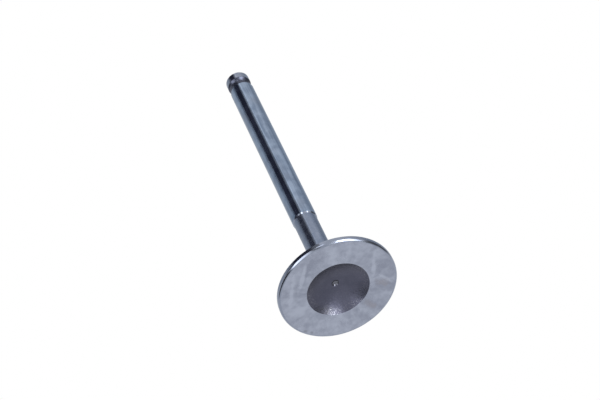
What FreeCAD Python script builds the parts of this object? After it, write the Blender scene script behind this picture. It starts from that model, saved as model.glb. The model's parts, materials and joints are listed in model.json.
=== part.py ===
import FreeCAD, Part
import math
import os
import Sketcher

# A poppet valve of one piece. It stands on its head: the flat combustion face lies on z = 0
# with the valve's axis on +Z, and the origin is the centre of that face.
# Every driving size is written once, here, in millimetres and degrees.
SIZES = [
    ("overall_length", 114.0, "combustion face to the end of the tip"),
    ("head_diameter", 37.0, "outside of the margin"),
    ("margin_thickness", 1.76, "face plane to the lower edge of the seat"),
    ("face_edge_radius", 0.7, "rounding between the face and the margin"),
    ("seat_angle", 45.0, "slope of the ground seat from the face plane"),
    ("seat_width", 2.2, "length of the seat along its slope"),
    ("back_angle", 15.0, "slope of the head's back from the face plane"),
    ("tulip_radius", 13.0, "sweep from the head's back into the neck"),
    ("neck_diameter", 7.5, "relieved neck below the ground stem"),
    ("neck_end_height", 33.5, "face plane to the end of the neck"),
    ("step_length", 0.4, "slope from the neck up to the stem"),
    ("stem_diameter", 8.0, "ground stem that runs in the guide"),
    ("groove_radius", 2.1, "round section of the keeper groove"),
    ("groove_depth", 0.85, "depth of the keeper groove below the stem"),
    ("groove_from_tip", 5.2, "end of the tip to the middle of the keeper groove"),
    ("groove_edge_radius", 0.12, "broken edges of the keeper groove"),
    ("tip_chamfer", 0.8, "chamfer at the end of the tip"),
    ("recess_diameter", 19.6, "rim of the dished recess in the face"),
    ("recess_depth", 3.05, "depth of the dish at its middle"),
    ("dimple_radius", 1.7, "round bottom of the dimple in the middle of the dish"),
    ("dimple_depth", 0.45, "depth of the dimple below the dish"),
]

# A sketch counts the points of its lines and arcs up from 1, and its own two axes down from -1.
START, END, CENTRE = range(1, 4)
LEVEL_AXIS, UPRIGHT_AXIS = range(-1, -3, -1)
ORIGIN = (LEVEL_AXIS, START)
FULL_TURN = 360


def make_sheet(doc):
    sheet = doc.addObject("Spreadsheet::Sheet", "sizes")
    for row, (alias, value, note) in enumerate(SIZES, 1):
        sheet.set("A%d" % row, alias)
        sheet.set("B%d" % row, str(value))
        sheet.setAlias("B%d" % row, alias)
        sheet.set("C%d" % row, note)
    doc.recompute()
    return sheet


def new_sketch(body, name):
    """An empty sketch on the plane through the axis: across is the radius, up is the height."""
    sketch = body.newObject("Sketcher::SketchObject", name)
    plane = next(item for item in body.Origin.OriginFeatures if item.Role == "XZ_Plane")
    sketch.AttachmentSupport = [(plane, "")]
    sketch.MapMode = "FlatFace"
    return sketch


def add_line(sketch, start, end):
    return sketch.addGeometry(Part.LineSegment(FreeCAD.Vector(*start, 0), FreeCAD.Vector(*end, 0)), False)


def add_arc(sketch, centre, radius, first, last):
    """An arc drawn anticlockwise from one angle to another, in degrees."""
    circle = Part.Circle(FreeCAD.Vector(*centre, 0), FreeCAD.Vector(0, 0, 1), radius)
    arc = Part.ArcOfCircle(circle, math.radians(first), math.radians(last))
    return sketch.addGeometry(arc, False)


def fix(sketch, kind, *items):
    """A geometric rule with no size, such as two points that meet."""
    sketch.addConstraint(Sketcher.Constraint(kind, *items))


def size(sketch, name, kind, *items, value, formula):
    """A dimension of the sketch: its first value, and the formula from the sheet that drives it."""
    number = sketch.addConstraint(Sketcher.Constraint(kind, *items, value))
    sketch.renameConstraint(number, name)
    sketch.setExpression("Constraints." + name, formula)


def finish_sketch(doc, sketch):
    doc.recompute()
    if not sketch.FullyConstrained:
        raise ValueError("%s can still move" % sketch.Name)


def revolve(doc, body, kind, name, sketch):
    feature = body.newObject("PartDesign::" + kind, name)
    feature.Profile = (sketch, [""])
    feature.ReferenceAxis = (sketch, ["V_Axis"])
    feature.Angle = FULL_TURN
    doc.recompute()
    return feature


def cut_round(doc, body, name, sketch):
    """A turned cut, which has to take some metal away."""
    before = body.Shape.Volume
    groove = revolve(doc, body, "Groove", name, sketch)
    if groove.Shape.Volume >= before:
        raise ValueError("%s cuts nothing" % name)
    return groove


def outline_sketch(doc, body, sheet):
    """Half of the valve's section, from the centre of the face round to the tip."""
    head_r = sheet.head_diameter / 2
    neck_r = sheet.neck_diameter / 2
    stem_r = sheet.stem_diameter / 2
    seat_slope = math.radians(sheet.seat_angle)
    back_slope = math.radians(sheet.back_angle)
    seat_r = head_r - sheet.seat_width * math.cos(seat_slope)
    seat_z = sheet.margin_thickness + sheet.seat_width * math.sin(seat_slope)
    # The middle of the tulip's sweep, and the foot where it leaves the head's back.
    sweep_r = neck_r + sheet.tulip_radius
    sweep_z = (seat_z + (seat_r - sweep_r) * math.tan(back_slope)
               + sheet.tulip_radius / math.cos(back_slope))
    foot_r = sweep_r - sheet.tulip_radius * math.sin(back_slope)
    foot_z = sweep_z - sheet.tulip_radius * math.cos(back_slope)
    neck_z = sheet.neck_end_height
    stem_z = neck_z + sheet.step_length
    top = sheet.overall_length

    sketch = new_sketch(body, "outline")
    face = add_line(sketch, (0, 0), (head_r, 0))
    margin = add_line(sketch, (head_r, 0), (head_r, sheet.margin_thickness))
    seat = add_line(sketch, (head_r, sheet.margin_thickness), (seat_r, seat_z))
    back = add_line(sketch, (seat_r, seat_z), (foot_r, foot_z))
    tulip = add_arc(sketch, (sweep_r, sweep_z), sheet.tulip_radius, 180, 270 - sheet.back_angle)
    neck = add_line(sketch, (neck_r, sweep_z), (neck_r, neck_z))
    step = add_line(sketch, (neck_r, neck_z), (stem_r, stem_z))
    stem = add_line(sketch, (stem_r, stem_z), (stem_r, top))
    tip = add_line(sketch, (stem_r, top), (0, top))
    axis = add_line(sketch, (0, top), (0, 0))

    fix(sketch, "Coincident", face, START, *ORIGIN)
    for first, second in [(face, margin), (margin, seat), (seat, back), (neck, step),
                          (step, stem), (stem, tip), (tip, axis), (axis, face)]:
        fix(sketch, "Coincident", first, END, second, START)
    fix(sketch, "Tangent", back, END, tulip, END)
    fix(sketch, "Tangent", tulip, START, neck, START)
    for line in (face, tip):
        fix(sketch, "Horizontal", line)
    for line in (margin, neck, stem, axis):
        fix(sketch, "Vertical", line)

    size(sketch, "head_radius", "DistanceX", face, START, face, END,
         value=head_r, formula="sizes.head_diameter / 2")
    size(sketch, "margin_thickness", "DistanceY", margin, START, margin, END,
         value=sheet.margin_thickness, formula="sizes.margin_thickness")
    size(sketch, "seat_width", "Distance", seat,
         value=sheet.seat_width, formula="sizes.seat_width")
    size(sketch, "seat_slope", "Angle", seat,
         value=math.radians(180 - sheet.seat_angle), formula="(180 - sizes.seat_angle) * 1 deg")
    size(sketch, "back_slope", "Angle", back,
         value=math.radians(180 - sheet.back_angle), formula="(180 - sizes.back_angle) * 1 deg")
    size(sketch, "tulip_radius", "Radius", tulip,
         value=sheet.tulip_radius, formula="sizes.tulip_radius")
    size(sketch, "neck_radius", "DistanceX", *ORIGIN, neck, END,
         value=neck_r, formula="sizes.neck_diameter / 2")
    size(sketch, "neck_end", "DistanceY", *ORIGIN, neck, END,
         value=neck_z, formula="sizes.neck_end_height")
    size(sketch, "step_length", "DistanceY", step, START, step, END,
         value=sheet.step_length, formula="sizes.step_length")
    size(sketch, "stem_radius", "DistanceX", *ORIGIN, stem, START,
         value=stem_r, formula="sizes.stem_diameter / 2")
    size(sketch, "overall_length", "DistanceY", axis, END, axis, START,
         value=top, formula="sizes.overall_length")
    finish_sketch(doc, sketch)
    return sketch


def keeper_groove_sketch(doc, body, sheet):
    """The round section of the groove that holds the split keepers."""
    radius = sheet.groove_radius
    centre_r = sheet.stem_diameter / 2 - sheet.groove_depth + radius
    centre_z = sheet.overall_length - sheet.groove_from_tip
    sketch = new_sketch(body, "groove_section")
    circle = sketch.addGeometry(
        Part.Circle(FreeCAD.Vector(centre_r, centre_z, 0), FreeCAD.Vector(0, 0, 1), radius), False)
    size(sketch, "groove_radius", "Radius", circle,
         value=radius, formula="sizes.groove_radius")
    size(sketch, "groove_reach", "DistanceX", *ORIGIN, circle, CENTRE,
         value=centre_r, formula="sizes.stem_diameter / 2 - sizes.groove_depth + sizes.groove_radius")
    size(sketch, "groove_height", "DistanceY", *ORIGIN, circle, CENTRE,
         value=centre_z, formula="sizes.overall_length - sizes.groove_from_tip")
    finish_sketch(doc, sketch)
    return sketch


def ball_sketch(doc, body, name, radius, radius_formula, top, top_formula):
    """Half a disc on the axis, which turns into a ball that reaches up to a height."""
    sketch = new_sketch(body, name)
    arc = add_arc(sketch, (0, top - radius), radius, -90, 90)
    chord = add_line(sketch, (0, top), (0, top - 2 * radius))
    fix(sketch, "Coincident", arc, END, chord, START)
    fix(sketch, "Coincident", chord, END, arc, START)
    fix(sketch, "PointOnObject", chord, START, UPRIGHT_AXIS)
    fix(sketch, "PointOnObject", chord, END, UPRIGHT_AXIS)
    fix(sketch, "PointOnObject", arc, CENTRE, UPRIGHT_AXIS)
    size(sketch, "ball_radius", "Radius", arc, value=radius, formula=radius_formula)
    size(sketch, "ball_top", "DistanceY", *ORIGIN, chord, START, value=top, formula=top_formula)
    finish_sketch(doc, sketch)
    return sketch


def ring_edges(feature, radius, height):
    """Names of the circular edges round the axis with this radius, at this height."""
    near = 0.001
    names = []
    for number, edge in enumerate(feature.Shape.Edges, 1):
        if edge.Degenerated or not isinstance(edge.Curve, Part.Circle):
            continue
        curve = edge.Curve
        if abs(curve.Radius - radius) < near and abs(curve.Center.z - height) < near:
            names.append("Edge%d" % number)
    if not names:
        raise ValueError("%s has no edge of radius %.3f at height %.3f" % (feature.Name, radius, height))
    return names


def dress_edges(doc, body, kind, name, base, edges, dimension, formula):
    """A fillet or a chamfer along edges of the feature before it."""
    feature = body.newObject("PartDesign::" + kind, name)
    feature.Base = (base, edges)
    feature.setExpression(dimension, formula)
    doc.recompute()
    return feature


def make_valve(doc, sheet):
    """The valve in the order that it is made: turned outline, turned cuts, broken edges."""
    body = doc.addObject("PartDesign::Body", "valve")
    body.Label = "valve"

    blank = revolve(doc, body, "Revolution", "blank", outline_sketch(doc, body, sheet))

    # The ball whose cap has the recess's rim diameter and depth.
    dish_radius = ((sheet.recess_diameter / 2) ** 2 + sheet.recess_depth ** 2) / (2 * sheet.recess_depth)
    dish = cut_round(doc, body, "face_recess", ball_sketch(
        doc, body, "recess_section", dish_radius,
        "(pow(sizes.recess_diameter / 2; 2) + pow(sizes.recess_depth; 2)) / (2 * sizes.recess_depth)",
        sheet.recess_depth, "sizes.recess_depth"))

    dimple = cut_round(doc, body, "centre_dimple", ball_sketch(
        doc, body, "dimple_section", sheet.dimple_radius, "sizes.dimple_radius",
        sheet.recess_depth + sheet.dimple_depth, "sizes.recess_depth + sizes.dimple_depth"))

    groove = cut_round(doc, body, "keeper_groove", keeper_groove_sketch(doc, body, sheet))

    stem_r = sheet.stem_diameter / 2
    groove_middle = sheet.overall_length - sheet.groove_from_tip
    groove_half = math.sqrt(sheet.groove_radius ** 2 - (sheet.groove_radius - sheet.groove_depth) ** 2)
    groove_lips = (ring_edges(groove, stem_r, groove_middle - groove_half)
                   + ring_edges(groove, stem_r, groove_middle + groove_half))
    lips = dress_edges(doc, body, "Fillet", "groove_lips", groove, groove_lips,
                       "Radius", "sizes.groove_edge_radius")

    tip = dress_edges(doc, body, "Chamfer", "tip_end", lips,
                      ring_edges(lips, stem_r, sheet.overall_length),
                      "Size", "sizes.tip_chamfer")

    rim = dress_edges(doc, body, "Fillet", "face_edge", tip,
                      ring_edges(tip, sheet.head_diameter / 2, 0),
                      "Radius", "sizes.face_edge_radius")

    body.Tip = rim
    doc.recompute()
    print("volumes: blank %.1f, recessed %.1f, dimpled %.1f, grooved %.1f, finished %.1f mm3" % (
        blank.Shape.Volume, dish.Shape.Volume, dimple.Shape.Volume, groove.Shape.Volume,
        body.Shape.Volume))
    return body


def check(doc, bodies):
    for item in doc.Objects:
        if "Invalid" in item.State or "Error" in item.State:
            raise ValueError("%s failed: %s" % (item.Name, item.State))
    for body in bodies:
        shape = body.Shape
        if shape.isNull() or not shape.isValid() or len(shape.Solids) != 1:
            raise ValueError("%s is not one valid solid" % body.Label)


def main():
    doc = FreeCAD.newDocument("engine_valve")
    sheet = make_sheet(doc)
    bodies = [make_valve(doc, sheet)]
    check(doc, bodies)
    os.makedirs("parts", exist_ok=True)
    for body in bodies:
        body.Shape.exportStep("parts/%s.step" % body.Label)


main()
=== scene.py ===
import json
import math

import bpy
from mathutils import Euler, Matrix, Vector, noise


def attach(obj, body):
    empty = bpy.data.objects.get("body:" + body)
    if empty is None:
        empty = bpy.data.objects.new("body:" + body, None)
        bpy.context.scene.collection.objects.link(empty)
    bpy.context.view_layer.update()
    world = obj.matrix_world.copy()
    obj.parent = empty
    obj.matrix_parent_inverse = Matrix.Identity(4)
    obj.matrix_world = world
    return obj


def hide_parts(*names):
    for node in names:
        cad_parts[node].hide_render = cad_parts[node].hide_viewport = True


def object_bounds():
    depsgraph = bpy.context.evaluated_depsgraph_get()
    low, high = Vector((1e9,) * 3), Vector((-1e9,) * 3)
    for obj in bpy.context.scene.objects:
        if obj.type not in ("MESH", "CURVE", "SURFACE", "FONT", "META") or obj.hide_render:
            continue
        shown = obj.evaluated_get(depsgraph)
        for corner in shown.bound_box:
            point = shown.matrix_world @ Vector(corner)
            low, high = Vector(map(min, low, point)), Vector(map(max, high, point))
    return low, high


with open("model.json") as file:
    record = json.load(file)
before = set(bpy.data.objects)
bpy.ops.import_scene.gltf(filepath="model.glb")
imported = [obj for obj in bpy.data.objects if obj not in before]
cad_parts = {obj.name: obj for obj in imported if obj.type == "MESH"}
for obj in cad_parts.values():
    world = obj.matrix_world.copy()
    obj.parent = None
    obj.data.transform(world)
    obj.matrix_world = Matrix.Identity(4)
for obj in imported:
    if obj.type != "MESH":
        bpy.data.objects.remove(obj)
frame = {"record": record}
cad_low, cad_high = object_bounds()

# A poppet valve, standing on its head. Lengths are in metres, angles in degrees.
# A profile point is (radius from the axis, height above the face plane).
MM = 0.001
PEAK = cad_high.z
HEAD_R = cad_high.x
STEM_R = next(m for m in frame["record"]["mounts"] if m["name"] == "stem")["dims"]["r_mm"] * MM

MARGIN_TOP = 1.76 * MM
FACE_EDGE_R = 0.7 * MM
SEAT_WIDTH = 2.2 * MM
SEAT_SLOPE = 45
BACK_SLOPE = 15
TULIP_R = 13.0 * MM
NECK_R = 3.75 * MM
NECK_TOP = 33.35 * MM
STEP_LENGTH = 0.7 * MM
GROOVE_R = 2.1 * MM
GROOVE_DEPTH = 0.85 * MM
GROOVE_TO_TIP = 5.2 * MM
TIP_CHAMFER = 0.8 * MM
RECESS_R = 9.8 * MM
RECESS_DEPTH = 3.05 * MM
DIMPLE_BALL_R = 1.7 * MM
DIMPLE_DEPTH = 0.45 * MM

# How far the broken edges reach to each side of their corner.
DIMPLE_EDGE = 0.12 * MM
RECESS_EDGE = 0.04 * MM
SEAT_EDGE = 0.06 * MM
NECK_EDGE = 0.08 * MM
SHOULDER_EDGE = 0.22 * MM
LIP_EDGE = 0.12 * MM
TIP_EDGE = 0.08 * MM

# The forging scale in the recess: its grain in layers, each finer and weaker, and its broad waves.
# The waves are cut from noise at WAVE_SLICE. Both fade out over a strip at the rim and one round the middle.
GRAIN_SIZE = 0.62 * MM
GRAIN_DEPTH = 0.020 * MM
GRAIN_LAYERS = 3
LAYER_RATIO = 2.1
LAYER_FADE = 0.9
WAVE_SIZE = 2.4 * MM
WAVE_DEPTH = 0.035 * MM
WAVE_SLICE = 5 * MM
FADE_STRIP = 0.8 * MM
SMOOTH_MIDDLE_R = 1.2 * MM

TURN_STEPS = 320
CORNER_STEPS = 5
ON_AXIS = 1e-7

# Most of a noise lies between these two values.
NOISE_LOW = 0.3
NOISE_HIGH = 0.7

# Marks on the face, in millimetres and degrees. Azimuth 0 is the camera's side and it grows to the right.
# A mark has its azimuth, distance from the axis, half length, half width and lean from the radius.
# Then come how much lighter or darker it is, or its share of a stain's colour.
BROWN_STAIN = (0.245, 0.245, 0.286, 1)
DARK_STAIN = (0.150, 0.158, 0.195, 1)
# The broad marks along the radius are painted sheen and painted shade: the lighter and darker wedges a
# turned face mirrors. The thin leaning ones are wipe marks.
FACE_SHEEN_SHADE_AND_WIPES = [
    (-150, 14.0, 6.0, 3.4, 0, 0.045),
    (-94, 14.0, 6.0, 2.1, 0, 0.050),
    (30, 14.0, 6.0, 1.8, 0, 0.045),
    (-24, 13.5, 6.0, 4.6, 0, -0.045),
    (-17, 14.6, 4.2, 0.9, 48, -0.090),
    (-27, 13.2, 4.0, 0.6, 58, -0.080),
    (-68, 11.8, 3.4, 2.4, 0, -0.055),
    (107, 14.8, 4.2, 0.7, 45, 0.150),
    (80, 12.6, 5.4, 0.8, -60, 0.130),
    (-36, 13.4, 7.0, 0.8, 67, 0.110),
    (-63, 14.6, 6.6, 0.8, 90, 0.120),
    (66, 16.0, 3.0, 1.6, 0, 0.060),
    (118, 14.0, 6.0, 2.6, 0, -0.050),
]
FACE_STAINS = [
    (112, 14.0, 2.8, 1.8, 20, 0.65, BROWN_STAIN),
    (149, 13.2, 2.6, 1.8, 0, 0.65, BROWN_STAIN),
    (-124, 17.3, 0.8, 0.9, 0, 0.50, DARK_STAIN),
    (-131, 17.1, 0.6, 0.8, 0, 0.45, DARK_STAIN),
]
# A patch on the recess's wall, painted lighter and given more shiny facets: a painted glint where the right
# softbox is mirrored.
PAINTED_GLINT_PATCH = (-143, 8.9, 2.0, 5.6, 0)

# A mark is whole in its core and gone past its end, as shares of its half size.
# The rag is how far these wander, and the grain is how finely.
MARK_CORE = 0.25
MARK_END = 1.1
MARK_RAG = 0.4
MARK_GRAIN = 420

# The grey cards lie on a ball round the valve's middle, and the softboxes on a ball round its head.
# In degrees, a card's foot and head fade out over CARD_FADE, and a sharp side over SHARP_SIDE.
MIDDLE = Vector((0, 0, PEAK / 2))
HEAD = Vector((0, 0, 0))
CARD_R = 1.2
SOFTBOX_R = 1.0
PANEL_STEPS = 36
CARD_FADE = 10
SHARP_SIDE = 0.01
PLAIN_WHITE = (1, 1, 1)
WORLD_LEVEL = 0.54

FLOOR_SIDE = 1.2
FLOOR_DROP = 0.2 * MM
FLOOR_FADE = (0.15, 1.1)


def direction(azimuth, elevation):
    """The way to a place round the valve. Azimuth 0 is the camera's side, and it grows to the right."""
    a, e = math.radians(azimuth), math.radians(elevation)
    return Vector((math.cos(e) * math.sin(a), -math.cos(e) * math.cos(a), math.sin(e)))


def along(start, end, steps):
    """Points of a straight run, both ends included."""
    start, end = Vector(start), Vector(end)
    return [start.lerp(end, i / steps) for i in range(steps + 1)]


def around(centre, radius, first, last, steps):
    """Points of an arc, from one angle to another, both ends included."""
    points = []
    for i in range(steps + 1):
        angle = math.radians(first + (last - first) * i / steps)
        points.append(Vector((centre[0] + radius * math.cos(angle), centre[1] + radius * math.sin(angle))))
    return points


def cut_back(points, reach):
    """The run without its last stretch, which a rounded corner takes over."""
    corner = points[-1]
    kept = [p for p in points if (p - corner).length > reach]
    beyond = points[len(kept)]
    a, b = (kept[-1] - corner).length, (beyond - corner).length
    return kept + [kept[-1].lerp(beyond, (a - reach) / (a - b))]


def rounded(corner, before, after):
    """Points of a smooth corner between two cut ends, without the ends."""
    points = []
    for i in range(1, CORNER_STEPS):
        t = i / CORNER_STEPS
        points.append(before.lerp(corner, t).lerp(corner.lerp(after, t), t))
    return points


def recess_runs():
    """The dimple and the recess, each an arc of its own ball, from the axis to the recess's rim."""
    dish_r = (RECESS_R ** 2 + RECESS_DEPTH ** 2) / (2 * RECESS_DEPTH)
    dish_z = RECESS_DEPTH - dish_r
    dimple_z = RECESS_DEPTH + DIMPLE_DEPTH - DIMPLE_BALL_R
    # Where the two balls cross.
    cross_z = (dish_r ** 2 - DIMPLE_BALL_R ** 2 + dimple_z ** 2 - dish_z ** 2) / (2 * (dimple_z - dish_z))
    cross_r = math.sqrt(DIMPLE_BALL_R ** 2 - (cross_z - dimple_z) ** 2)
    dimple_rim = math.degrees(math.atan2(cross_z - dimple_z, cross_r))
    dish_start = math.degrees(math.atan2(cross_z - dish_z, cross_r))
    dish_end = math.degrees(math.atan2(-dish_z, RECESS_R))
    return [
        ("dimple", around((0, dimple_z), DIMPLE_BALL_R, 90, dimple_rim, 12), DIMPLE_EDGE),
        ("recess", around((0, dish_z), dish_r, dish_start, dish_end, 52), RECESS_EDGE),
    ]


def head_runs():
    """The face, the margin, the seat, the back and its sweep into the neck."""
    slope = math.radians(SEAT_SLOPE)
    seat_top = (HEAD_R - SEAT_WIDTH * math.cos(slope), MARGIN_TOP + SEAT_WIDTH * math.sin(slope))
    back = math.radians(BACK_SLOPE)
    sweep_r = NECK_R + TULIP_R
    sweep_z = seat_top[1] + (seat_top[0] - sweep_r) * math.tan(back) + TULIP_R / math.cos(back)
    foot = (sweep_r - TULIP_R * math.sin(back), sweep_z - TULIP_R * math.cos(back))
    return [
        ("face", along((RECESS_R, 0), (HEAD_R - FACE_EDGE_R, 0), 16), 0),
        ("margin", around((HEAD_R - FACE_EDGE_R, FACE_EDGE_R), FACE_EDGE_R, 270, 360, 16), 0),
        ("margin", along((HEAD_R, FACE_EDGE_R), (HEAD_R, MARGIN_TOP), 8), SEAT_EDGE),
        ("seat", along((HEAD_R, MARGIN_TOP), seat_top, 8), SEAT_EDGE),
        ("back", along(seat_top, foot, 10), 0),
        ("back", around((sweep_r, sweep_z), TULIP_R, 270 - BACK_SLOPE, 180, 44), 0),
        ("neck", along((NECK_R, sweep_z), (NECK_R, NECK_TOP), 16), NECK_EDGE),
    ]


def stem_runs():
    """The step above the neck, the stem, the keeper groove and the tip, up to the axis."""
    step_top = NECK_TOP + STEP_LENGTH
    groove_z = PEAK - GROOVE_TO_TIP
    groove_mid_r = STEM_R - GROOVE_DEPTH + GROOVE_R
    mouth = math.degrees(math.acos((groove_mid_r - STEM_R) / GROOVE_R))
    groove_half = GROOVE_R * math.sin(math.radians(mouth))
    return [
        ("step", along((NECK_R, NECK_TOP), (STEM_R, step_top), 6), SHOULDER_EDGE),
        ("stem", along((STEM_R, step_top), (STEM_R, groove_z - groove_half), 24), LIP_EDGE),
        ("groove", around((groove_mid_r, groove_z), GROOVE_R, 180 + mouth, 180 - mouth, 20), LIP_EDGE),
        ("land", along((STEM_R, groove_z + groove_half), (STEM_R, PEAK - TIP_CHAMFER), 6), TIP_EDGE),
        ("land", along((STEM_R, PEAK - TIP_CHAMFER), (STEM_R - TIP_CHAMFER, PEAK), 4), TIP_EDGE),
        ("tip", along((STEM_R - TIP_CHAMFER, PEAK), (0, PEAK), 10), 0),
    ]


def valve_profile():
    """The runs joined into one line of points, with the run's name for each stretch between two points.
    A run is its name, its points and how far the broken edge at its end reaches."""
    points, names = [], []
    last_name, last_corner, start_cut = None, None, 0
    for name, run, reach in recess_runs() + head_runs() + stem_runs():
        if start_cut:
            run = cut_back(run[::-1], start_cut)[::-1]
        corner = run[-1]
        if reach:
            run = cut_back(run, reach)
        if start_cut:
            # A corner belongs to the run after it, but both lips of the groove belong to the groove.
            bend = rounded(last_corner, points[-1], run[0]) + [run[0]]
            points += bend
            names += ["groove" if last_name == "groove" else name] * len(bend)
        elif not points:
            points.append(run[0])
        points += run[1:]
        names += [name] * (len(run) - 1)
        last_name, last_corner, start_cut = name, corner, reach
    return points, names


def forged(x, y, radius):
    """How deep the forging scale lies at a place in the recess."""
    rim_fade = min(1, max(0, (RECESS_R - radius) / FADE_STRIP))
    middle_fade = min(1, max(0, (radius - SMOOTH_MIDDLE_R) / FADE_STRIP))
    fine = noise.fractal(Vector((x, y, 0)) / GRAIN_SIZE, LAYER_FADE, LAYER_RATIO, GRAIN_LAYERS)
    broad = noise.noise(Vector((x, y, WAVE_SLICE)) / WAVE_SIZE)
    return (fine * GRAIN_DEPTH + broad * WAVE_DEPTH) * rim_fade * middle_fade


def turn_ring(radius, height, scaled):
    """The places round one point of the profile, with the forging scale's relief where it is scaled."""
    ring = []
    for k in range(TURN_STEPS):
        angle = 2 * math.pi * k / TURN_STEPS
        x, y = radius * math.cos(angle), radius * math.sin(angle)
        lift = forged(x, y, radius) if scaled else 0
        ring.append((x, y, height + lift))
    return ring


def turn_profile(points, names, slots):
    """The mesh that the profile makes when it is turned about the axis."""
    vertices, rings = [], []
    for index, (radius, height) in enumerate(points):
        if radius < ON_AXIS:
            rings.append([len(vertices)] * TURN_STEPS)
            vertices.append((0, 0, height))
        else:
            rings.append(range(len(vertices), len(vertices) + TURN_STEPS))
            vertices += turn_ring(radius, height, scaled=names[index] == "recess")
    faces, face_slots = [], []
    for name, low, high in zip(names, rings, rings[1:]):
        for k in range(TURN_STEPS):
            after = (k + 1) % TURN_STEPS
            corners = [low[k], low[after], high[after], high[k]]
            faces.append(list(dict.fromkeys(corners)))
            face_slots.append(slots[name])
    mesh = bpy.data.meshes.new("valve_visual")
    mesh.from_pydata(vertices, [], faces)
    mesh.polygons.foreach_set("material_index", face_slots)
    mesh.polygons.foreach_set("use_smooth", [True] * len(faces))
    mesh.update()
    return mesh


def new_object(name, data):
    """A new object in the scene."""
    thing = bpy.data.objects.new(name, data)
    bpy.context.scene.collection.objects.link(thing)
    return thing


def new_material(name):
    """A new material and its node tree."""
    material = bpy.data.materials.new(name)
    material.use_nodes = True
    return material, material.node_tree


def add(tree, kind, **settings):
    """A new node of a kind, with its settings."""
    node = tree.nodes.new(kind)
    for name, value in settings.items():
        setattr(node, name, value)
    return node


def feed(tree, socket, source):
    """Links a socket to a source, or sets it to a plain value."""
    if isinstance(source, bpy.types.NodeSocket):
        tree.links.new(source, socket)
    else:
        socket.default_value = source


def maths(tree, operation, first, second):
    """Two values worked into one."""
    node = add(tree, "ShaderNodeMath", operation=operation)
    feed(tree, node.inputs[0], first)
    feed(tree, node.inputs[1], second)
    return node.outputs[0]


def vector_maths(tree, operation, first, second=(0, 0, 0)):
    """Two vectors worked into one. A length or a direction needs only the first."""
    node = add(tree, "ShaderNodeVectorMath", operation=operation)
    feed(tree, node.inputs[0], first)
    feed(tree, node.inputs[1], second)
    return node.outputs["Value" if operation == "LENGTH" else "Vector"]


def spread(tree, source, low, high, to_low, to_high):
    """A value carried smoothly from one range to another, and held at its ends."""
    node = add(tree, "ShaderNodeMapRange", interpolation_type="SMOOTHSTEP")
    for socket, value in zip(node.inputs[:5], (source, low, high, to_low, to_high)):
        feed(tree, socket, value)
    return node.outputs[0]


def blend_colours(tree, share, first, second):
    """The first colour at a share of 0, the second at a share of 1."""
    node = add(tree, "ShaderNodeMix", data_type="RGBA")
    feed(tree, node.inputs[0], share)
    feed(tree, node.inputs[6], first)
    feed(tree, node.inputs[7], second)
    return node.outputs[2]


def tinted(tree, source, first, second, low=0.35, high=0.65):
    """One colour that turns into another as a value goes from low to high."""
    return blend_colours(tree, spread(tree, source, low, high, 0, 1), first, second)


def grain(tree, place, scale, detail=3.0, roughness=0.55):
    """Noise from 0 to 1 over a place, finer with a greater scale."""
    node = add(tree, "ShaderNodeTexNoise", noise_dimensions="3D")
    feed(tree, node.inputs["Vector"], place)
    node.inputs["Scale"].default_value = scale
    node.inputs["Detail"].default_value = detail
    node.inputs["Roughness"].default_value = roughness
    return node.outputs["Fac"]


def lines(tree, distance, pitch, detail=2.0):
    """Noise along one length only, as a tool's marks are."""
    node = add(tree, "ShaderNodeTexNoise", noise_dimensions="1D")
    feed(tree, node.inputs["W"], distance)
    node.inputs["Scale"].default_value = 1 / pitch
    node.inputs["Detail"].default_value = detail
    return node.outputs["Fac"]


def object_place(tree):
    """The place on an object, in its own frame."""
    return add(tree, "ShaderNodeTexCoord").outputs["Object"]


def flattened(tree, place):
    """A place brought to the face plane."""
    return vector_maths(tree, "MULTIPLY", place, (1, 1, 0))


def radius_of(tree, place):
    """How far a place lies from the axis."""
    return vector_maths(tree, "LENGTH", flattened(tree, place))


def height_of(tree, place):
    """How high a place lies above the face plane."""
    split = add(tree, "ShaderNodeSeparateXYZ")
    feed(tree, split.inputs[0], place)
    return split.outputs["Z"]


def outline_length(tree, place):
    """A length that grows along the profile, on slopes and upright walls alike."""
    return maths(tree, "ADD", radius_of(tree, place), height_of(tree, place))


def steel(name, anisotropy=0.0, metallic=1.0):
    """A bare metal shader, which its own finish is then fed into."""
    material, tree = new_material(name)
    shader = tree.nodes["Principled BSDF"]
    shader.inputs["Metallic"].default_value = metallic
    shader.inputs["Anisotropic"].default_value = anisotropy
    shader.inputs["Anisotropic Rotation"].default_value = 0.25
    if anisotropy:
        tangent = add(tree, "ShaderNodeTangent", direction_type="RADIAL", axis="Z")
        feed(tree, shader.inputs["Tangent"], tangent.outputs[0])
    return material, tree, shader


def colour_and_gloss(tree, shader, colour, clouds, roughness):
    """Feeds the shader its colour, and a roughness that goes from one value to another with the clouds."""
    feed(tree, shader.inputs["Base Color"], colour)
    feed(tree, shader.inputs["Roughness"], spread(tree, clouds, NOISE_LOW, NOISE_HIGH, *roughness))


def relief(tree, shader, height, depth):
    """Fine relief from a height between 0 and 1, over a depth in metres."""
    bump = add(tree, "ShaderNodeBump")
    bump.inputs["Strength"].default_value = 1.0
    bump.inputs["Distance"].default_value = depth
    feed(tree, bump.inputs["Height"], height)
    feed(tree, shader.inputs["Normal"], bump.outputs[0])


def drawn_out(tree, place, share):
    """A place whose height counts only by a share, so that noise over it makes streaks along the valve."""
    mapping = add(tree, "ShaderNodeMapping", vector_type="POINT")
    feed(tree, mapping.inputs["Vector"], place)
    mapping.inputs["Scale"].default_value = (1, 1, share)
    return mapping.outputs[0]


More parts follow.
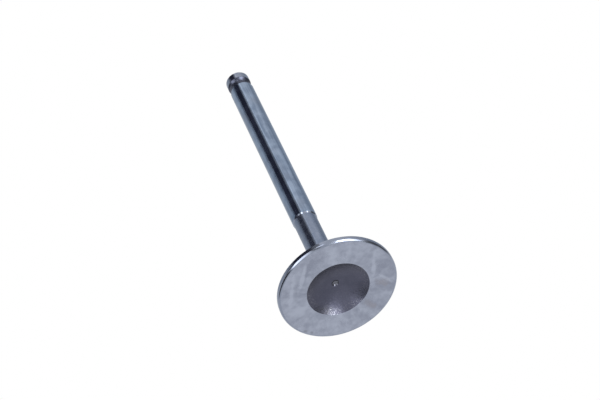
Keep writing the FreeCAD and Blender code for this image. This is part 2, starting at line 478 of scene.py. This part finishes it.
def ground_steel():
    """The stem: ground and polished, with faint streaks and clouds from the guide and from handling."""
    dark, bright, dull = (0.164, 0.215, 0.306, 1), (0.284, 0.352, 0.466, 1), (0.215, 0.252, 0.330, 1)
    material, tree, shader = steel("ground_steel", anisotropy=0.7)
    place = object_place(tree)
    clouds = grain(tree, place, scale=260, detail=4)
    streaks = grain(tree, drawn_out(tree, place, share=0.08), scale=900)
    patches = grain(tree, place, scale=90, detail=2)
    tone = maths(tree, "ADD", maths(tree, "MULTIPLY", clouds, 0.45), maths(tree, "MULTIPLY", streaks, 0.55))
    colour = tinted(tree, tone, dark, bright, 0.38, 0.62)
    colour = blend_colours(tree, spread(tree, patches, 0.5, 0.7, 0, 0.7), colour, dull)
    colour_and_gloss(tree, shader, colour, clouds, (0.11, 0.16))
    return material


def neck_steel():
    """The neck: turned finely, but not ground."""
    dark, bright = (0.184, 0.222, 0.306, 1), (0.224, 0.258, 0.336, 1)
    material, tree, shader = steel("neck_steel", anisotropy=0.6)
    place = object_place(tree)
    clouds = grain(tree, place, scale=320, detail=4)
    colour_and_gloss(tree, shader, tinted(tree, clouds, dark, bright), clouds, (0.20, 0.27))
    relief(tree, shader, lines(tree, height_of(tree, place), pitch=0.22 * MM, detail=3), depth=0.0003 * MM)
    return material


def back_steel():
    """The head's back: turned, with clear tool marks."""
    dark, bright = (0.230, 0.255, 0.330, 1), (0.285, 0.305, 0.375, 1)
    material, tree, shader = steel("back_steel", anisotropy=0.5)
    place = object_place(tree)
    clouds = grain(tree, place, scale=240, detail=4)
    colour_and_gloss(tree, shader, tinted(tree, clouds, dark, bright), clouds, (0.28, 0.38))
    marks = lines(tree, outline_length(tree, place), pitch=0.3 * MM, detail=3)
    relief(tree, shader, marks, depth=0.003 * MM)
    return material


def rim_steel(name, roughness):
    """The margin, the seat, the step above the neck and the tip: finely finished."""
    dark, bright = (0.228, 0.256, 0.330, 1), (0.268, 0.298, 0.372, 1)
    material, tree, shader = steel(name, anisotropy=0.4)
    place = object_place(tree)
    clouds = grain(tree, place, scale=300)
    colour_and_gloss(tree, shader, tinted(tree, clouds, dark, bright), clouds, roughness)
    relief(tree, shader, lines(tree, outline_length(tree, place), pitch=0.15 * MM), depth=0.0004 * MM)
    return material


def groove_steel():
    """The keeper groove: turned and never polished, dark, and with painted shade darkest at its bottom."""
    painted_bottom_shade, dark, bright = (0.062, 0.070, 0.106, 1), (0.066, 0.076, 0.118, 1), (0.090, 0.100, 0.146, 1)
    material, tree, shader = steel("groove_steel", anisotropy=0.3, metallic=0.65)
    place = object_place(tree)
    clouds = grain(tree, place, scale=420)
    bottom = STEM_R - GROOVE_DEPTH
    halfway = STEM_R - GROOVE_DEPTH / 2
    colour = tinted(tree, clouds, dark, bright)
    # Painted shade: darker towards the groove's bottom.
    colour = tinted(tree, radius_of(tree, place), painted_bottom_shade, colour, bottom, halfway)
    colour_and_gloss(tree, shader, colour, clouds, (0.24, 0.32))
    relief(tree, shader, lines(tree, height_of(tree, place), pitch=0.2 * MM), depth=0.0012 * MM)
    return material


def fans(tree, place, centre, scale, drift, detail=3.0):
    """Noise that runs along the rays from a centre, as wiping marks do.
    The drift is how fast it changes outward."""
    away = vector_maths(tree, "SUBTRACT", flattened(tree, place), (*centre, 0))
    outward = add(tree, "ShaderNodeCombineXYZ")
    feed(tree, outward.inputs["Z"], maths(tree, "MULTIPLY", vector_maths(tree, "LENGTH", away), drift))
    rays = vector_maths(tree, "ADD", vector_maths(tree, "NORMALIZE", away), outward.outputs[0])
    return grain(tree, rays, scale, detail=detail)


def face_mark(tree, place, azimuth, radius, deep, wide, lean):
    """1 in the middle of a mark and 0 round it. The mark lies along the radius, or leans from it."""
    mapping = add(tree, "ShaderNodeMapping", vector_type="TEXTURE")
    feed(tree, mapping.inputs["Vector"], place)
    mapping.inputs["Location"].default_value = radius * MM * direction(azimuth, 0)
    mapping.inputs["Rotation"].default_value = (0, 0, math.radians(azimuth - 90 + lean))
    mapping.inputs["Scale"].default_value = (deep * MM, wide * MM, 1)
    wander = spread(tree, grain(tree, place, MARK_GRAIN), 0.2, 0.8, -MARK_RAG, MARK_RAG)
    ragged = maths(tree, "ADD", vector_maths(tree, "LENGTH", mapping.outputs[0]), wander)
    return spread(tree, ragged, MARK_CORE, MARK_END, 1, 0)


def face_steel():
    """The flat ring of the face: fine turned rings crossed by rays, wiping marks, clouds and stains, and
    broad radial wedges of painted sheen and painted shade.
    """
    dark, bright = (0.234, 0.256, 0.326, 1), (0.356, 0.388, 0.474, 1)
    axis, wiped_from = (0, 0), (-0.030, 0.060)
    material, tree, shader = steel("face_steel", anisotropy=0.5)
    place = object_place(tree)
    clouds = grain(tree, place, scale=170, detail=4, roughness=0.6)
    layers = [
        (0.36, fans(tree, place, axis, scale=2.6, drift=30, detail=2)),
        (0.16, fans(tree, place, axis, scale=14, drift=50)),
        (0.26, fans(tree, place, wiped_from, scale=24, drift=20)),
        (0.22, clouds),
    ]
    # Painted sheen and painted shade: the face's lighter and darker radial wedges, with the wipe marks.
    layers += [(strength, face_mark(tree, place, *mark)) for *mark, strength in FACE_SHEEN_SHADE_AND_WIPES]
    tone = 0.0
    for share, layer in layers:
        tone = maths(tree, "ADD", tone, maths(tree, "MULTIPLY", layer, share))
    colour = tinted(tree, tone, dark, bright, 0.36, 0.64)
    for *mark, share, stain in FACE_STAINS:
        shape = face_mark(tree, place, *mark)
        colour = blend_colours(tree, maths(tree, "MULTIPLY", shape, share), colour, stain)
    colour_and_gloss(tree, shader, colour, clouds, (0.26, 0.34))
    relief(tree, shader, lines(tree, radius_of(tree, place), pitch=0.14 * MM), depth=0.0009 * MM)
    return material


def forged_steel():
    """The recess: dark forging scale, coarser and with more lighter facets outward. A patch on its wall is
    painted lighter and given more facets: a painted glint of the right softbox.
    """
    dark, light = (0.063, 0.066, 0.097, 1), (0.079, 0.082, 0.118, 1)
    painted_glint, facet = (0.130, 0.135, 0.158, 1), (0.210, 0.216, 0.244, 1)
    fine_within, coarse_beyond = 6.6 * MM, 8.8 * MM
    material, tree, shader = steel("forged_steel", metallic=0.9)
    place = object_place(tree)
    coarse = spread(tree, radius_of(tree, place), fine_within, coarse_beyond, 0, 1)
    # Painted glint: the patch is lighter and has more facets where the right softbox is mirrored.
    glint_patch = face_mark(tree, place, *PAINTED_GLINT_PATCH)
    bright = maths(tree, "MULTIPLY", coarse, spread(tree, glint_patch, 0, 1, 0.5, 1))
    specks = spread(tree, grain(tree, place, scale=3800, detail=1), 0.58, 0.66, 0, 1)
    facets = maths(tree, "MULTIPLY", specks, spread(tree, bright, 0, 1, 0.12, 1))

    colour = tinted(tree, grain(tree, place, scale=220), dark, light, NOISE_LOW, NOISE_HIGH)
    colour = blend_colours(tree, maths(tree, "MULTIPLY", glint_patch, 0.3), colour, painted_glint)
    colour = blend_colours(tree, facets, colour, facet)
    feed(tree, shader.inputs["Base Color"], colour)
    feed(tree, shader.inputs["Roughness"], spread(tree, facets, 0, 1, 0.36, 0.16))
    crust = grain(tree, place, scale=1500, roughness=0.6)
    crust = maths(tree, "MULTIPLY", crust, spread(tree, coarse, 0, 1, 0.6, 1))
    relief(tree, shader, crust, depth=0.016 * MM)
    return material


def dimple_steel():
    """The centre mark in the recess, pressed smooth, with painted shade darkening it towards its rim."""
    pressed_colour, painted_rim_shade = (0.116, 0.121, 0.146, 1), (0.030, 0.031, 0.042, 1)
    unshaded_within, shaded_beyond = 0.82 * MM, 1.18 * MM
    material, tree, shader = steel("dimple_steel")
    place = object_place(tree)
    # Painted shade: darker towards the mark's rim, where it meets the recess.
    colour = tinted(tree, radius_of(tree, place), pressed_colour, painted_rim_shade, unshaded_within, shaded_beyond)
    colour_and_gloss(tree, shader, colour, grain(tree, place, scale=1500), (0.14, 0.20))
    return material


def make_valve():
    """The whole valve as one turned skin, with a finish for each of its zones."""
    finishes = [
        dimple_steel(),
        forged_steel(),
        face_steel(),
        rim_steel("rim_steel", (0.12, 0.18)),
        back_steel(),
        neck_steel(),
        ground_steel(),
        groove_steel(),
        rim_steel("step_steel", (0.07, 0.11)),
    ]
    dimple, forging, face, rim, back, neck, ground, groove, step = range(len(finishes))
    slots = {"dimple": dimple, "recess": forging, "face": face, "margin": rim, "seat": rim, "back": back,
             "neck": neck, "step": step, "stem": ground, "groove": groove, "land": rim, "tip": rim}
    points, names = valve_profile()
    mesh = turn_profile(points, names, slots)
    for finish in finishes:
        mesh.materials.append(finish)
    return new_object("valve_dressed", mesh)


def light_path(tree, *kinds):
    """1 for rays of any of these kinds."""
    path = add(tree, "ShaderNodeLightPath")
    total = path.outputs[kinds[0]]
    for kind in kinds[1:]:
        total = maths(tree, "MAXIMUM", total, path.outputs[kind])
    return total


def mix_surface(tree, share, first, second):
    """A surface with the first shader at a share of 0 and the second at a share of 1."""
    mix = add(tree, "ShaderNodeMixShader")
    for socket, source in zip(mix.inputs, (share, first, second)):
        feed(tree, socket, source)
    feed(tree, tree.nodes["Material Output"].inputs["Surface"], mix.outputs[0])


def clear_shader(tree):
    """A shader that light goes straight through."""
    return add(tree, "ShaderNodeBsdfTransparent").outputs[0]


def make_world():
    """White where it is seen or mirrored, and a plain level of light elsewhere."""
    world = bpy.data.worlds.new("studio")
    bpy.context.scene.world = world
    world.use_nodes = True
    tree = world.node_tree
    seen = light_path(tree, "Is Camera Ray", "Is Glossy Ray", "Is Transmission Ray")
    colour = blend_colours(tree, seen, (WORLD_LEVEL, WORLD_LEVEL, WORLD_LEVEL, 1), (1, 1, 1, 1))
    feed(tree, tree.nodes["Background"].inputs["Color"], colour)


def floor_material():
    """Pale, fading out far from the valve, and clear from below."""
    material, tree = new_material("pale_floor")
    shader = tree.nodes["Principled BSDF"]
    shader.inputs["Base Color"].default_value = (0.86, 0.86, 0.87, 1)
    shader.inputs["Roughness"].default_value = 0.8
    below = add(tree, "ShaderNodeNewGeometry").outputs["Backfacing"]
    far = spread(tree, radius_of(tree, object_place(tree)), *FLOOR_FADE, 0, 1)
    mix_surface(tree, maths(tree, "MAXIMUM", below, far), shader.outputs[0], clear_shader(tree))
    return material


def make_floor():
    """A pale floor under the valve. It can't be seen from below, where the camera looks at the face."""
    mesh = bpy.data.meshes.new("floor")
    corners = [(-1, -1), (1, -1), (1, 1), (-1, 1)]
    mesh.from_pydata([(x * FLOOR_SIDE, y * FLOOR_SIDE, -FLOOR_DROP) for x, y in corners], [], [(0, 1, 2, 3)])
    mesh.materials.append(floor_material())
    floor = new_object("floor", mesh)
    floor.visible_shadow = False
    floor.visible_glossy = False
    floor.visible_diffuse = False


def covered(*sides):
    """How much of a sheet is left where its sides fade out."""
    return math.prod(min(1, max(0, side)) for side in sides)


def glowing_material(name, level, tint, sampling):
    """A plain glow, clear where the mesh's cover is 0."""
    material, tree = new_material(name)
    material.cycles.emission_sampling = sampling
    tree.nodes.remove(tree.nodes["Principled BSDF"])
    glow = add(tree, "ShaderNodeEmission")
    glow.inputs["Color"].default_value = (*tint, 1)
    glow.inputs["Strength"].default_value = level
    cover = add(tree, "ShaderNodeAttribute", attribute_name="cover").outputs["Fac"]
    mix_surface(tree, cover, clear_shader(tree), glow.outputs[0])
    return material


def make_panel(name, centre, distance, spot, material):
    """A glowing sheet on a ball round a centre, which is seen only mirrored in metal.
    For a place across it and up it, each from 0 to 1, spot gives its direction and its cover."""
    row = PANEL_STEPS + 1
    spots = [spot(i / PANEL_STEPS, j / PANEL_STEPS) for j in range(row) for i in range(row)]
    corners = [j * row + i for j in range(PANEL_STEPS) for i in range(PANEL_STEPS)]
    faces = [(c, c + 1, c + row + 1, c + row) for c in corners]
    mesh = bpy.data.meshes.new(name)
    mesh.from_pydata([centre + distance * way for way, cover in spots], [], faces)
    mesh.attributes.new("cover", "FLOAT", "POINT").data.foreach_set("value", [cover for way, cover in spots])
    mesh.materials.append(material)
    panel = new_object(name, mesh)
    panel.visible_camera = False
    panel.visible_diffuse = False
    panel.visible_shadow = False


def make_card(name, azimuths, elevations, level, soft=(6, 6), tint=PLAIN_WHITE):
    """A grey card round the valve. Its left and right sides fade out over the soft degrees."""
    left_fade, right_fade = max(soft[0], SHARP_SIDE), max(soft[1], SHARP_SIDE)

    def spot(across, up):
        azimuth = azimuths[0] + (azimuths[1] - azimuths[0]) * across
        elevation = elevations[0] + (elevations[1] - elevations[0]) * up
        cover = covered((azimuth - azimuths[0]) / left_fade, (azimuths[1] - azimuth) / right_fade,
                        (elevation - elevations[0]) / CARD_FADE, (elevations[1] - elevation) / CARD_FADE)
        return direction(azimuth, elevation), cover

    make_panel(name, MIDDLE, CARD_R, spot, glowing_material(name, level, tint, "NONE"))


def make_softbox(name, left, right, level, soft=(0.2, 0.2, 0.2, 0.2)):
    """A bright softbox between two sides, each given by the azimuth and elevation of its foot and its head.
    It fades out over the soft shares of its width and height: left, right, foot, head."""
    def spot(across, up):
        foot = direction(*left[0]).lerp(direction(*right[0]), across)
        head = direction(*left[1]).lerp(direction(*right[1]), across)
        cover = covered(across / soft[0], (1 - across) / soft[1], up / soft[2], (1 - up) / soft[3])
        return foot.lerp(head, up).normalized(), cover

    make_panel(name, HEAD, SOFTBOX_R, spot, glowing_material(name, level, PLAIN_WHITE, "FRONT_BACK"))


def make_overhead_lamp():
    """A soft lamp high up, which throws the valve's shadow on the floor. Metal doesn't mirror it."""
    low, top = direction(30, 50), direction(30, 62)
    away = (low + top).normalized()
    upward = (top - low).normalized()
    wide, high = 0.25, 2 * math.tan(low.angle(top) / 2)
    mirrored_level = 22.0
    data = bpy.data.lights.new("overhead_lamp", "AREA")
    data.shape = "RECTANGLE"
    data.size, data.size_y = wide, high
    data.energy = mirrored_level * math.pi * wide * high
    lamp = new_object("overhead_lamp", data)
    lamp.location = away
    lamp.rotation_mode = "QUATERNION"
    lamp.rotation_quaternion = Matrix((upward.cross(away), upward, away)).transposed().to_quaternion()
    lamp.visible_glossy = False


def make_cards():
    """The cards that give the stem, the neck and the rim their broad grey and dark bands."""
    make_card("left_grey_card", (-180, -54), (30, 88), level=0.69, soft=(0, 6), tint=(0.91, 0.97, 1.03))
    make_card("right_grey_card", (58, 180), (30, 88), level=0.56, soft=(44, 0), tint=(0.82, 0.91, 1.03))
    make_card("dark_card", (-86, -3), (0, 88), level=0.07, soft=(26, 3), tint=(0.74, 0.70, 1.0))
    make_card("low_left_card", (-112, -60), (-72, 0), level=0.08, soft=(8, 4))
    make_card("low_right_card", (72, 128), (-72, 40), level=0.20, soft=(12, 12))
    make_card("camera_card", (-14, 6), (-89, 60), level=0.40, soft=(5, 4))


def make_softboxes():
    """The softboxes that give the rim its bright bands, the step its dots and the stem its bright line."""
    make_softbox("left_softbox", left=((-92, -66), (-45, 12)), right=((-50, -81), (-8, 10)), level=4.0,
                 soft=(0.2, 0.6, 0.15, 0.1))
    make_softbox("right_softbox", left=((58, -77), (26, 10)), right=((116, -61), (56, 18)), level=7.0,
                 soft=(0.1, 0.5, 0.15, 0.2))
    make_softbox("left_window", left=((-32, 2), (-32, 22)), right=((-14, 2), (-14, 22)), level=1.0)
    make_softbox("low_window", left=((-4, 3), (-4, 24)), right=((11, 3), (11, 24)), level=4.5)
    make_softbox("right_window", left=((44, 2), (44, 24)), right=((54, 2), (54, 24)), level=5.2)
    make_softbox("tall_window", left=((4, 24), (4, 80)), right=((14, 24), (16, 80)), level=1.3,
                 soft=(0.3, 0.3, 0.1, 0.1))


def make_studio():
    """The world, the floor, what the metal mirrors, and the lamp."""
    make_world()
    make_floor()
    make_cards()
    make_softboxes()
    make_overhead_lamp()


def make_camera():
    """The camera of the photograph, below the face, rolled so that the stem leans to the left."""
    place = Vector((0, -390.8, -405.3)) * MM
    aim = Vector((1.43, 0, 43.91)) * MM
    roll = -26.09
    data = bpy.data.cameras.new("camera")
    data.sensor_width = 36
    data.lens = 113.87
    camera = new_object("camera", data)
    level = (aim - place).to_track_quat("-Z", "Y")
    camera.rotation_mode = "QUATERNION"
    camera.rotation_quaternion = level @ Euler((0, 0, math.radians(roll))).to_quaternion()
    camera.location = place
    bpy.context.scene.camera = camera


valve = make_valve()
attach(valve, "root")
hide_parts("valve")
make_studio()
make_camera()
bpy.context.scene.view_settings.view_transform = "Standard"
